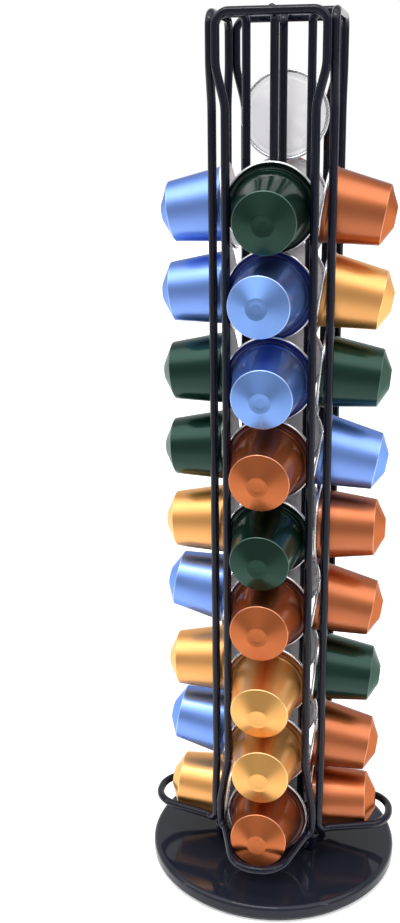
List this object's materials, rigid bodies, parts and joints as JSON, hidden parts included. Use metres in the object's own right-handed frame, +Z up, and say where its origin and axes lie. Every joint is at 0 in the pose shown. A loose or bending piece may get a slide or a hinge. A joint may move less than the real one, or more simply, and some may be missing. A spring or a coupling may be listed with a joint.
{
  "type": "coffee capsule dispenser",
  "caption": "Turning black wire tower on a round base that stores coffee capsules in stacked columns, each ending in a wire tray.",
  "frame": {"origin": "on the table, under the middle of the base", "axes": "+Z up along the pivot; -Y faces the front column, +X the right one, +Y the rear one"},
  "size_m": [0.115, 0.115, 0.381],
  "materials": {
    "black_paint": "gloss",
    "black_rubber": "matte",
    "white_nylon": "satin",
    "zinc_steel": "satin",
    "blue_aluminium": "satin",
    "green_aluminium": "satin",
    "copper_aluminium": "satin",
    "gold_aluminium": "satin"
  },
  "bodies": {
    "base": {"base_plate": "black_paint", "rubber_ring": "black_rubber", "pivot_bolt": "zinc_steel", "lock_nut": "zinc_steel", "spring_washer": "zinc_steel", "slide_washer": "white_nylon"},
    "carousel": {"hub_plate": "black_paint", "corner_arm_front_right": "black_paint", "corner_arm_rear_right": "black_paint", "corner_arm_rear_left": "black_paint", "corner_arm_front_left": "black_paint", "back_rod_front": "black_paint", "back_rod_right": "black_paint", "back_rod_rear": "black_paint", "back_rod_left": "black_paint", "column_wire_front": "black_paint", "column_wire_right": "black_paint", "column_wire_rear": "black_paint", "column_wire_left": "black_paint"},
    "front_stack": {"capsule_front_1": "green_aluminium", "capsule_front_2": "blue_aluminium", "capsule_front_3": "blue_aluminium", "capsule_front_4": "copper_aluminium", "capsule_front_5": "green_aluminium", "capsule_front_6": "copper_aluminium", "capsule_front_7": "gold_aluminium", "capsule_front_8": "gold_aluminium", "capsule_front_9": "copper_aluminium"},
    "right_stack": {"capsule_right_1": "copper_aluminium", "capsule_right_2": "gold_aluminium", "capsule_right_3": "green_aluminium", "capsule_right_4": "blue_aluminium", "capsule_right_5": "copper_aluminium", "capsule_right_6": "copper_aluminium", "capsule_right_7": "green_aluminium", "capsule_right_8": "copper_aluminium", "capsule_right_9": "copper_aluminium"},
    "rear_stack": {"capsule_rear_1": "gold_aluminium", "capsule_rear_2": "copper_aluminium", "capsule_rear_3": "blue_aluminium", "capsule_rear_4": "green_aluminium", "capsule_rear_5": "copper_aluminium", "capsule_rear_6": "gold_aluminium", "capsule_rear_7": "blue_aluminium", "capsule_rear_8": "copper_aluminium", "capsule_rear_9": "green_aluminium", "capsule_rear_10": "gold_aluminium"},
    "left_stack": {"capsule_left_1": "blue_aluminium", "capsule_left_2": "blue_aluminium", "capsule_left_3": "green_aluminium", "capsule_left_4": "green_aluminium", "capsule_left_5": "gold_aluminium", "capsule_left_6": "blue_aluminium", "capsule_left_7": "gold_aluminium", "capsule_left_8": "blue_aluminium", "capsule_left_9": "gold_aluminium"}
  },
  "joints": [
    {"name": "carousel_spin", "type": "hinge", "parent": "base", "child": "carousel", "pos_m": [0, 0, 0.0101], "axis": [0, 0, 1], "continuous": true},
    {"name": "front_stack_lift", "type": "slide", "parent": "carousel", "child": "front_stack", "axis": [0, 0, 1], "range_m": [0, 0.0515]},
    {"name": "right_stack_lift", "type": "slide", "parent": "carousel", "child": "right_stack", "axis": [0, 0, 1], "range_m": [0, 0.0515]},
    {"name": "rear_stack_lift", "type": "slide", "parent": "carousel", "child": "rear_stack", "axis": [0, 0, 1], "range_m": [0, 0.0172]},
    {"name": "left_stack_lift", "type": "slide", "parent": "carousel", "child": "left_stack", "axis": [0, 0, 1], "range_m": [0, 0.0515]}
  ]
}
